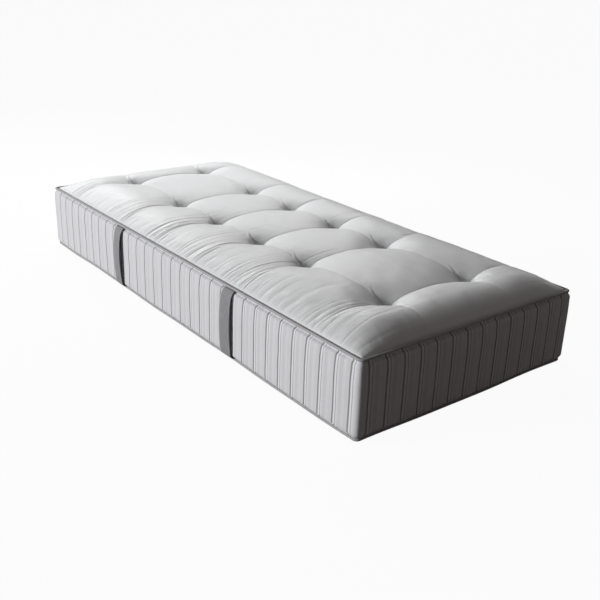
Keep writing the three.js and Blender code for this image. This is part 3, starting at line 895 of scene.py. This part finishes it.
def border_stand(share, along, x, y):
    """How far the border stands out from its seams, at a share of its height."""
    corner = at_corner(x, y)
    drawn = near_corner_share(x, y)
    swell = 1.0 + 0.04 * panel_swell(along) - corner_loss * drawn
    bulge = border_profile(share) * swell
    part = ((along - stripe_start) / stripe_repeat) % 1
    panel = 1 - np.abs(2 * part - 1) ** 5
    from_top = (1 - share) * height
    from_foot = share * height
    edges = (1 - np.exp(-from_top / (5 * MM))) * (1 - np.exp(-from_foot / (5 * MM)))
    gathers = 0.9 * MM * seam_wrinkle(along) * np.exp(-from_top / (12 * MM))
    gathers = gathers + 0.5 * MM * long_wrinkle(along) * np.exp(-from_top / (32 * MM))
    gathers = gathers + 0.5 * MM * seam_wrinkle(along + 7) * np.exp(-from_foot / (10 * MM))
    puff = puff_height * bell(from_top - puff_place, 8 * MM) * (panel - 0.2)
    dents = 0.5 * MM * band_dents(along, from_foot)
    relief = (panel_relief * panel + gathers + puff + dents) * edges
    nearer = np.minimum(from_top, from_foot)
    crevice = 2 * MM * bell(nearer, 3 * MM)
    crevice = crevice + crevice_depth * bell(nearer - crevice_place, 3 * MM)
    stand = bulge + relief * (1 - 0.9 * under_strap(x, y))
    stand = stand + (corner_stand * corner - taken_back) * MM * edges
    return stand - crevice * (1 - crevice_loss * drawn)


# %% Border band
# The rows of points lie closer together beside each seam, and 13 more are spread between them.
hems = np.array([0, 1.5, 3, 4, 5, 6, 7, 8.5, 10.5, 14, 19, 26]) * MM / height
levels = np.concatenate([hems, np.linspace(0.16, 0.84, 13), 1 - hems[::-1]])
x, y, out_x, out_y, along, round_trip = walk(border_inset, 3 * MM)
border_wall = half_length - border_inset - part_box("rail_right")[1].x - clearance
columns = []
for share in levels:
    stand = border_stand(share, along, x, y)
    up = border_low.z + height * share + seam_drop(along) * (1 - share)
    columns.append(np.stack([x + out_x * stand, y + out_y * stand, up], axis=-1))
for share in (1, 0):
    up = border_low.z + height * share + seam_drop(along) * (1 - share)
    columns.append(np.stack([x - out_x * border_wall, y - out_y * border_wall, up], axis=-1))
sections = np.stack(columns, axis=1)
count, profile = sections.shape[:2]
faces = []
for section in range(count):
    after = (section + 1) % count
    for point in range(profile):
        upper = (point + 1) % profile
        faces.append((section * profile + point, after * profile + point,
                      after * profile + upper, section * profile + upper))
print(f"Border band: {len(faces)} faces, {round_trip / stripe_repeat:.2f} repeats of the stripe")
print(f"It takes {round_trip:.3f} m of cloth and stands {height:.3f} m high")

# %% [markdown]
# ## Ticking
# Ticking is a dense cotton twill. Its stripe is woven in: a bold dark line, a pale gap, a fine grey
# line, and then a ground of soft bands. The stripe follows the cloth round the corners, so the band
# has a UV map in metres of cloth. The twill is drawn about three times as coarse as it is woven.

# %% Ticking material
ticking, tree, shader = new_material("woven_cotton_ticking", Roughness=0.8)
shader.inputs["Specular IOR Level"].default_value = 0.2
cloth_place = add_node(tree, "ShaderNodeUVMap", uv_map="cloth").outputs["UV"]
sides = add_node(tree, "ShaderNodeSeparateXYZ", {"Vector": cloth_place}).outputs
lead = 0.1  # share of a repeat by which the pattern's picture starts before the bold line
along_cloth = add_node(tree, "ShaderNodeMath", {
    0: sides["X"], 1: 1 / stripe_repeat, 2: lead - stripe_start / stripe_repeat,
}, operation="MULTIPLY_ADD").outputs[0]
part = add_node(tree, "ShaderNodeMath", {0: along_cloth}, operation="FRACT").outputs[0]
stripes = add_node(tree, "ShaderNodeValToRGB", {"Fac": part})
bold_half = 2.7 * MM / stripe_repeat
thin_half = 1.0 * MM / stripe_repeat
thin_place = lead + 11.5 * MM / stripe_repeat
soft = 0.006  # share of a repeat over which one tone passes into the next
stops = (
    (0.0, "#D6D7DA"), (lead - bold_half - soft, "#CDCED2"), (lead - bold_half, "#8A8A8E"),
    (lead + bold_half, "#8E8E92"), (lead + bold_half + soft, "#DFE0E2"),
    (thin_place - thin_half - soft, "#DFE0E2"), (thin_place - thin_half, "#9A9A9E"),
    (thin_place + thin_half, "#9A9A9E"), (thin_place + thin_half + soft, "#D8D9DC"),
    (0.40, "#D7D8DB"), (0.44, "#CDCED2"), (0.62, "#CCCDD1"), (0.66, "#D4D5D8"),
    (0.80, "#D6D7DA"), (0.84, "#CFD0D4"), (0.93, "#D3D4D7"),
)
ramp = stripes.color_ramp
while len(ramp.elements) < len(stops):
    ramp.elements.new(0.5)
for element, (place, _) in zip(ramp.elements, stops):
    element.position = place
for element, (_, colour) in zip(ramp.elements, stops):
    element.color = linear(colour)
twill_pitch = 1.8 * MM
slope = add_node(tree, "ShaderNodeMapping", {
    "Vector": cloth_place, "Rotation": (0, 0, math.radians(38)),
})
twill = add_node(tree, "ShaderNodeTexWave", {
    "Vector": slope.outputs["Vector"], "Scale": math.pi / (10 * twill_pitch), "Distortion": 0.6,
}, bands_direction="X")
melange = add_node(tree, "ShaderNodeMapping", {"Vector": cloth_place, "Scale": (900.0, 90.0, 1.0)})
yarns = add_node(tree, "ShaderNodeTexNoise", {
    "Vector": melange.outputs["Vector"], "Scale": 1.0, "Detail": 3.0,
}).outputs["Fac"]
shade = add_node(tree, "ShaderNodeMath", {
    0: yarns, 1: 0.22, 2: 0.89,  # 1 on average, so that the stripes keep their tones
}, operation="MULTIPLY_ADD").outputs[0]
toned = add_node(tree, "ShaderNodeVectorMath", {
    0: stripes.outputs["Color"], 1: shade,
}, operation="MULTIPLY")
tree.links.new(toned.outputs["Vector"], shader.inputs["Base Color"])
relief = add_node(tree, "ShaderNodeMath", {0: twill.outputs["Fac"], 1: yarns}, operation="ADD")
bump = add_node(tree, "ShaderNodeBump", {
    "Height": relief.outputs[0], "Strength": 0.3, "Distance": 0.35 * MM,
})
tree.links.new(bump.outputs["Normal"], shader.inputs["Normal"])
print(ticking.name, "with", len(stops), "stops in its stripe")

# %% The border's mesh and its map of the cloth
border = mesh_piece("border_band_ticking", sections.reshape(-1, 3), faces, ticking)
cloth_map = border.data.uv_layers.new(name="cloth")
laid = np.repeat(along[:, None], profile, axis=1)
laid_next = np.append(along[1:], along[0] + round_trip)
heights = np.append(levels * height, (height, 0))
map_u = np.empty((count, profile, 4))
map_v = np.empty((count, profile, 4))
map_u[:, :, 0] = map_u[:, :, 3] = laid
map_u[:, :, 1] = map_u[:, :, 2] = laid_next[:, None]
map_v[:, :, 0] = map_v[:, :, 1] = heights
map_v[:, :, 2] = map_v[:, :, 3] = np.roll(heights, -1)
cloth_map.data.foreach_set("uv", np.stack([map_u, map_v], axis=-1).ravel())
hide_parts("border_band")
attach(border, "root")
print(border.name, len(border.data.polygons), "faces")

# %% [markdown]
# ## Pipings
# A piping is a cord in a strip of cloth, sewn into the seam. It has one section all the way along a
# path, which is what Geometry Nodes' Curve to Mesh does. The tree takes the path, the radius and the
# number of sides, and it keeps two facts for the material: the way along and the way round.

# %% Tree that sweeps a cord along a path
sweep = bpy.data.node_groups.new("cord_sweep", "GeometryNodeTree")
takes = {"Geometry": "Geometry", "Radius": "Float", "Sides": "Int", "Material": "Material"}
for socket, kind in takes.items():
    sweep.interface.new_socket(socket, in_out="INPUT", socket_type="NodeSocket" + kind)
sweep.interface.new_socket("Geometry", in_out="OUTPUT", socket_type="NodeSocketGeometry")
given = sweep.nodes.new("NodeGroupInput").outputs
path = add_node(sweep, "GeometryNodeMeshToCurve", {"Mesh": given["Geometry"]}).outputs[0]
way = add_node(sweep, "GeometryNodeSplineParameter").outputs
path = add_node(sweep, "GeometryNodeStoreNamedAttribute", {
    "Geometry": path, "Name": "along", "Value": way["Length"],
}, data_type="FLOAT", domain="POINT").outputs[0]
section = add_node(sweep, "GeometryNodeCurvePrimitiveCircle", {
    "Resolution": given["Sides"], "Radius": given["Radius"],
}).outputs[0]
section = add_node(sweep, "GeometryNodeStoreNamedAttribute", {
    "Geometry": section, "Name": "around", "Value": way["Factor"],
}, data_type="FLOAT", domain="POINT").outputs[0]
body = add_node(sweep, "GeometryNodeCurveToMesh", {"Curve": path, "Profile Curve": section}).outputs[0]
body = add_node(sweep, "GeometryNodeSetShadeSmooth", {"Geometry": body}).outputs[0]
body = add_node(sweep, "GeometryNodeRealizeInstances", {"Geometry": body}).outputs[0]
body = add_node(sweep, "GeometryNodeSetMaterial", {
    "Geometry": body, "Material": given["Material"],
}).outputs[0]
add_node(sweep, "NodeGroupOutput", {"Geometry": body})
print(sweep.name, "with", len(sweep.nodes), "nodes")


# %% Running a tree and making its result plain
def grown(name, path_points, tree, **values):
    """A plain mesh that a tree has grown on a closed path of points."""
    mesh = bpy.data.meshes.new(name)
    count = len(path_points)
    edges = [(number, (number + 1) % count) for number in range(count)]
    mesh.from_pydata([tuple(point) for point in path_points], edges, [])
    piece = bpy.data.objects.new(name, mesh)
    scene.collection.objects.link(piece)
    modifier = piece.modifiers.new(tree.name, "NODES")
    modifier.node_group = tree
    for item in tree.interface.items_tree:
        if item.in_out == "INPUT" and item.name in values:
            modifier[item.identifier] = values[item.name]
    ready = piece.evaluated_get(bpy.context.evaluated_depsgraph_get())
    plain = bpy.data.meshes.new_from_object(ready)
    piece.modifiers.clear()
    piece.data = plain
    return piece


# %% [markdown]
# ## Cloth of the pipings
# The strip round the cord is cotton, cut on the bias so that it turns the corners without a crease.
# The eye sees a matt grey roll with fine ribs that run slantwise round it. The two facts that the
# tree has kept give that slant on any path, which a pattern in space couldn't.

# %% Piping material
piping_cloth, tree, shader = new_material("bias_cut_cotton_piping", Roughness=0.8)
shader.inputs["Specular IOR Level"].default_value = 0.1
way_along = add_node(tree, "ShaderNodeAttribute", attribute_name="along").outputs["Fac"]
way_round = add_node(tree, "ShaderNodeAttribute", attribute_name="around").outputs["Fac"]
bias_pitch = 1.6 * MM
bias_turns = 9.0  # how many ribs the slant crosses on its way round the cord
ribs_along = add_node(tree, "ShaderNodeMath", {0: way_along, 1: bias_pitch}, operation="DIVIDE")
ribs_round = add_node(tree, "ShaderNodeMath", {0: way_round, 1: bias_turns}, operation="MULTIPLY")
bias = add_node(tree, "ShaderNodeMath", {
    0: ribs_along.outputs[0], 1: ribs_round.outputs[0],
}, operation="ADD").outputs[0]
rib = add_node(tree, "ShaderNodeMath", {0: bias, 1: 0.5}, operation="PINGPONG").outputs[0]
place = add_node(tree, "ShaderNodeTexCoord").outputs["Object"]
worn = add_node(tree, "ShaderNodeTexNoise", {"Vector": place, "Scale": 60.0, "Detail": 4.0})
two_tone_finish(tree, shader, worn.outputs["Fac"], "#9E9DA0", "#BAB9BC", rib, 0.4, 0.4 * MM)
print(piping_cloth.name, "with ribs drawn", bias_pitch / MM, "mm apart")

# %% Two pipings
drawn_radius = cord_radius - 0.5 * MM  # the seam draws the cord a little tighter than its solid
x, y, out_x, out_y, along, round_trip = walk(drawn_radius, 6 * MM)
for node, seam, drop in (("top_piping", upper_seam, 0), ("bottom_piping", lower_seam, 1)):
    levels_up = seam + drop * seam_drop(along)
    path_points = np.stack([x, y, levels_up], axis=-1)
    piping = grown(node + "_cord", path_points, sweep,
                   Radius=drawn_radius, Sides=14, Material=piping_cloth)
    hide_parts(node)
    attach(piping, "root")
    print(piping.name, len(piping.data.polygons), "faces")

# %% [markdown]
# ## Handles
# Each handle is a strap of flat-woven webbing, sewn in under both pipings. It stands off the border
# so that fingertips slip in behind it, and one that has been pulled often stays a little twisted.
# The webbing is woven of dark and pale yarns, so it looks streaked, with a paler edge, and its picks
# zigzag across it. A map of the cloth in metres carries that pattern along each strap's bow.

# %% Webbing material
webbing, tree, shader = new_material("flat_woven_webbing", Roughness=0.85)
shader.inputs["Sheen Weight"].default_value = 0.15
strap_place = add_node(tree, "ShaderNodeUVMap", uv_map="cloth").outputs["UV"]
sides = add_node(tree, "ShaderNodeSeparateXYZ", {"Vector": strap_place}).outputs
stretched = add_node(tree, "ShaderNodeMapping", {
    "Vector": strap_place, "Scale": (420.0, 45.0, 1.0),
})
streaks = add_node(tree, "ShaderNodeTexNoise", {
    "Vector": stretched.outputs["Vector"], "Scale": 1.0, "Detail": 4.0,
})
tones = add_node(tree, "ShaderNodeMix", {
    0: streaks.outputs["Fac"], "A": linear("#55565A"), "B": linear("#A9A9AD"),
}, data_type="RGBA")
edge_place = 24.5 * MM  # from here on out the webbing has its pale edge
from_middle = add_node(tree, "ShaderNodeMath", {0: sides["X"]}, operation="ABSOLUTE").outputs[0]
edge = add_node(tree, "ShaderNodeMath", {
    0: from_middle, 1: edge_place,
}, operation="GREATER_THAN").outputs[0]
bordered = add_node(tree, "ShaderNodeMix", {
    0: edge, "A": tones.outputs["Result"], "B": linear("#B4B4B6"),
}, data_type="RGBA")
tree.links.new(bordered.outputs["Result"], shader.inputs["Base Color"])
weave_pitch = 2.6 * MM
warp = add_node(tree, "ShaderNodeMath", {0: sides["X"], 1: weave_pitch}, operation="DIVIDE")
weft = add_node(tree, "ShaderNodeMath", {0: sides["Y"], 1: weave_pitch}, operation="DIVIDE")
zigzag = add_node(tree, "ShaderNodeMath", {0: warp.outputs[0], 1: 0.5}, operation="PINGPONG")
slant = add_node(tree, "ShaderNodeMath", {
    0: weft.outputs[0], 1: zigzag.outputs[0],
}, operation="ADD").outputs[0]
picks = add_node(tree, "ShaderNodeMath", {0: slant, 1: 0.5}, operation="PINGPONG").outputs[0]
bump = add_node(tree, "ShaderNodeBump", {"Height": picks, "Strength": 0.5, "Distance": 0.6 * MM})
tree.links.new(bump.outputs["Normal"], shader.inputs["Normal"])
print(webbing.name, "with picks drawn", weave_pitch / MM, "mm apart")

# %% Straps
strap_thickness = 2.2 * MM
strap_bow = 10.5 * MM  # the gap between strap and border at half height
strap_gap = 1.2 * MM  # the same beside the seams
strap_cup = 0.8 * MM  # how much a strap's middle stands out beyond its edges
strap_ripple = 0.25 * MM
narrowed = 0.015  # how much narrower a strap is at half height than in the seams


def add_strap(node, number, lean):
    """One strap. `lean` is how much further its right edge stands out, as a share of the bow."""
    low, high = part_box(node)
    middle = (low.x + high.x) / 2
    side = 1 if low.y + high.y > 0 else -1
    half_strap = (high.x - low.x) / 2
    share = np.linspace(0, 1, 49)  # rows of points up the strap
    across = np.linspace(-1, 1, 13)  # points across it
    s, u = np.meshgrid(share, across, indexing="ij")
    bow = strap_bow * np.clip(np.sin(np.pi * s), 0, 1) ** 0.5 * (1 + lean * u)
    cup = strap_cup * (1 - u ** 2) * np.sin(np.pi * s)
    ripple = strap_ripple * np.sin(9 * s + 2 * number + 3 * u)
    inner = border_profile(s) + strap_gap + bow + cup + ripple * np.sin(np.pi * s)
    wide = half_strap * (1 - narrowed * np.sin(np.pi * s)) * u
    up = border_low.z + height * s
    layers = []
    for stand in (inner, inner + strap_thickness):
        out = side * (half_width - border_inset + stand)
        layers.append(np.stack([middle + wide, out, up], axis=-1).reshape(-1, 3))
    rows, cols = s.shape
    size = rows * cols
    faces = []
    for i in range(rows - 1):
        for j in range(cols - 1):
            a = i * cols + j
            b, c, d = a + 1, a + cols + 1, a + cols
            faces.append((a + size, b + size, c + size, d + size))
            faces.append((a, d, c, b))
    ring = list(range(cols))
    ring += [i * cols + cols - 1 for i in range(1, rows)]
    ring += [size - 1 - j for j in range(1, cols)]
    ring += [(rows - 1 - i) * cols for i in range(1, rows - 1)]
    for start, end in zip(ring, ring[1:] + ring[:1]):
        faces.append((start, end, end + size, start + size))
    if side > 0:
        faces = [face[::-1] for face in faces]
    strap = mesh_piece(node + "_strap", np.concatenate(layers), faces, webbing)
    cloth_map = strap.data.uv_layers.new(name="cloth")
    where = np.stack([(half_strap * u).ravel(), (height * s).ravel()], axis=-1)
    corners = np.empty(len(strap.data.loops), dtype=int)
    strap.data.loops.foreach_get("vertex_index", corners)
    cloth_map.data.foreach_set("uv", where[corners % size].ravel())
    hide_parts(node)
    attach(strap, "root")
    print(strap.name, len(strap.data.polygons), "faces")


leans = {
    "handle_front_left": 0.3, "handle_front_right": -0.1,
    "handle_back_left": -0.2, "handle_back_right": 0.15,
}
for number, (node, lean) in enumerate(leans.items()):
    add_strap(node, number, lean)

# %% [markdown]
# ## The filling
# Foam, felt, rails, pockets and tapes keep their solids, because their shapes are right. Each gets a
# finish of its own: cut foam has open cells, needled felt is a tangle of mixed fibres, pocket cloth is
# bonded in small dots, and the tapes are woven.

# %% Finishes for what lies inside
def inner_finish(name, dark, light, depth, texture, fact, **values):
    """A matt finish of two tones, which a texture mixes and raises."""
    material, tree, shader = new_material(name, Roughness=0.95)
    values["Vector"] = add_node(tree, "ShaderNodeTexCoord").outputs["Object"]
    grain = add_node(tree, texture, values).outputs[fact]
    two_tone_finish(tree, shader, grain, dark, light, grain, 0.5, depth)
    return material


def fibrous(name, dark, light, scale, detail, depth):
    """Felt or tape: an uneven grain of threads."""
    noise = {"Scale": scale, "Detail": detail}
    return inner_finish(name, dark, light, depth, "ShaderNodeTexNoise", "Fac", **noise)


def cellular(name, dark, light, cell, depth):
    """Cut foam or bonded cloth: a pattern of cells, `cell` metres apart."""
    cells = {"Scale": 1 / cell}
    return inner_finish(name, dark, light, depth, "ShaderNodeTexVoronoi", "Distance", **cells)


finishes = {
    "foam": cellular("cut_comfort_foam", "#DCCFA8", "#F3E9CB", 2.4 * MM, 0.5 * MM),
    "rail": cellular("cut_edge_foam", "#AFC5D2", "#CFDFE8", 3.0 * MM, 0.6 * MM),
    "felt": fibrous("needled_cotton_felt", "#6F7174", "#A5A6A8", 240.0, 8.0, 1 * MM),
    "spring": cellular("dot_bonded_pocket_cloth", "#E6E6E2", "#F8F8F6", 1.6 * MM, 0.2 * MM),
    "tuft": fibrous("woven_polyester_tape", "#CFCFCA", "#EDEDE9", 900.0, 2.0, 0.2 * MM),
}
for name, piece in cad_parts.items():
    for word, finish in finishes.items():
        if word in name:
            piece.data.materials.clear()
            piece.data.materials.append(finish)
print("Finishes inside:", ", ".join(finish.name for finish in finishes.values()))
